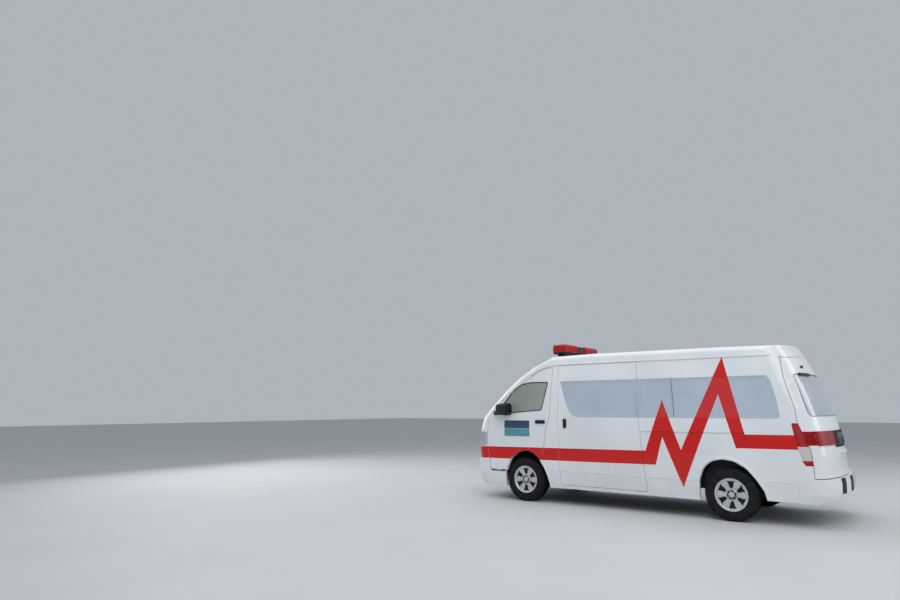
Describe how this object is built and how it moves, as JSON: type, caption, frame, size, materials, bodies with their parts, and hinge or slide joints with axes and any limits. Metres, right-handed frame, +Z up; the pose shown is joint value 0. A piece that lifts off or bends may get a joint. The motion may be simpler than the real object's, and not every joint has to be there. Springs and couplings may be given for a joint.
{
  "type": "high-roof van ambulance",
  "caption": "White high-roof van ambulance with a red zigzag stripe, red roof beacons, opening cab doors, tailgate and steered wheels.",
  "frame": {"origin": "on the ground under the middle of the van", "axes": "+X forward, +Y to the van's left, +Z up"},
  "size_m": [5.38, 2.3, 2.4783],
  "materials": {
    "white_paint": "gloss white body paint",
    "red_garnish": "dark red reflective plastic",
    "red_lens": "clear red plastic",
    "clear_lens": "clear lamp lens",
    "cab_glass": "green tinted glass",
    "film_glass": "glass behind pale blue film",
    "black_plastic": "grained black plastic",
    "grey_plastic": "grained grey plastic",
    "seat_fabric": "woven seat cover",
    "tyre": "tyre rubber",
    "silver": "silver wheel paint",
    "chassis": "black chassis paint",
    "cast": "bare cast iron",
    "steel": "aluminised steel"
  },
  "bodies": {
    "shell": {"beacon_domes": "red_lens", "body_side_left": "white_paint", "body_side_right": "white_paint", "dashboard": "grey_plastic", "drivetrain": "cast", "engine": "cast", "exhaust": "steel", "floor_pan": "chassis", "front_bumper": "white_paint", "front_panel": "white_paint", "front_seats": "seat_fabric", "front_suspension": "chassis", "fuel_tank": "chassis", "grille": "grey_plastic", "headlamps": "clear_lens", "light_bar": "black_plastic", "rear_axle": "cast", "rear_bumper": "white_paint", "roof_panel": "white_paint", "side_door_handle": "black_plastic", "side_glass_left": "film_glass", "side_glass_right": "film_glass", "sliding_door": "white_paint", "spare_wheel": "tyre", "tail_lamps": "red_lens", "tow_eyes": "chassis", "windscreen": "cab_glass"},
    "door_left": {"front_door_left": "white_paint", "front_glass_left": "cab_glass", "front_trim_left": "black_plastic"},
    "door_right": {"front_door_right": "white_paint", "front_glass_right": "cab_glass", "front_trim_right": "black_plastic"},
    "tailgate": {"tailgate": "white_paint", "tailgate_glass": "film_glass", "tailgate_garnish": "red_garnish", "tailgate_trim": "black_plastic"},
    "hood": {"hood": "white_paint"},
    "helm": {"steering_wheel": "black_plastic"},
    "knuckle_left": {"knuckle_left": "cast"},
    "knuckle_right": {"knuckle_right": "cast"},
    "wheel_front_left": {"tyre_front_left": "tyre", "wheel_front_left": "silver"},
    "wheel_front_right": {"tyre_front_right": "tyre", "wheel_front_right": "silver"},
    "wheel_rear_left": {"tyre_rear_left": "tyre", "wheel_rear_left": "silver"},
    "wheel_rear_right": {"tyre_rear_right": "tyre", "wheel_rear_right": "silver"}
  },
  "joints": [
    {"name": "spin_front_left", "type": "hinge", "parent": "knuckle_left", "child": "wheel_front_left", "pos_m": [1.675, 0.8275, 0.335], "axis": [0, 1, 0], "continuous": true},
    {"name": "spin_front_right", "type": "hinge", "parent": "knuckle_right", "child": "wheel_front_right", "pos_m": [1.675, -0.8275, 0.335], "axis": [0, 1, 0], "continuous": true},
    {"name": "spin_rear_left", "type": "hinge", "parent": "shell", "child": "wheel_rear_left", "pos_m": [-1.435, 0.825, 0.335], "axis": [0, 1, 0], "continuous": true},
    {"name": "spin_rear_right", "type": "hinge", "parent": "shell", "child": "wheel_rear_right", "pos_m": [-1.435, -0.825, 0.335], "axis": [0, 1, 0], "continuous": true},
    {"name": "steer_left", "type": "hinge", "parent": "shell", "child": "knuckle_left", "pos_m": [1.675, 0.78, 0.335], "axis": [0, 0, 1], "range_deg": [-33, 33]},
    {"name": "steer_right", "type": "hinge", "parent": "shell", "child": "knuckle_right", "pos_m": [1.675, -0.78, 0.335], "axis": [0, 0, 1], "range_deg": [-33, 33]},
    {"name": "door_left_hinge", "type": "hinge", "parent": "shell", "child": "door_left", "pos_m": [2.352, 0.937, 0.9], "axis": [0, 0, -1], "range_deg": [0, 66]},
    {"name": "door_right_hinge", "type": "hinge", "parent": "shell", "child": "door_right", "pos_m": [2.352, -0.937, 0.9], "axis": [0, 0, 1], "range_deg": [0, 66]},
    {"name": "tailgate_hinge", "type": "hinge", "parent": "shell", "child": "tailgate", "pos_m": [-2.17, 0, 2.19], "axis": [0, 1, 0], "range_deg": [0, 84]},
    {"name": "hood_hinge", "type": "hinge", "parent": "shell", "child": "hood", "pos_m": [2.612, 0, 1.29], "axis": [0, -1, 0], "range_deg": [0, 55]},
    {"name": "helm_turn", "type": "hinge", "parent": "shell", "child": "helm", "pos_m": [2.01, -0.43, 1.235], "axis": [-0.4695, 0, 0.8829], "range_deg": [-528, 528]}
  ],
  "couplings": [
    {"joint": "steer_right", "follows": "steer_left", "ratio": 1},
    {"joint": "helm_turn", "follows": "steer_left", "ratio": 16}
  ]
}
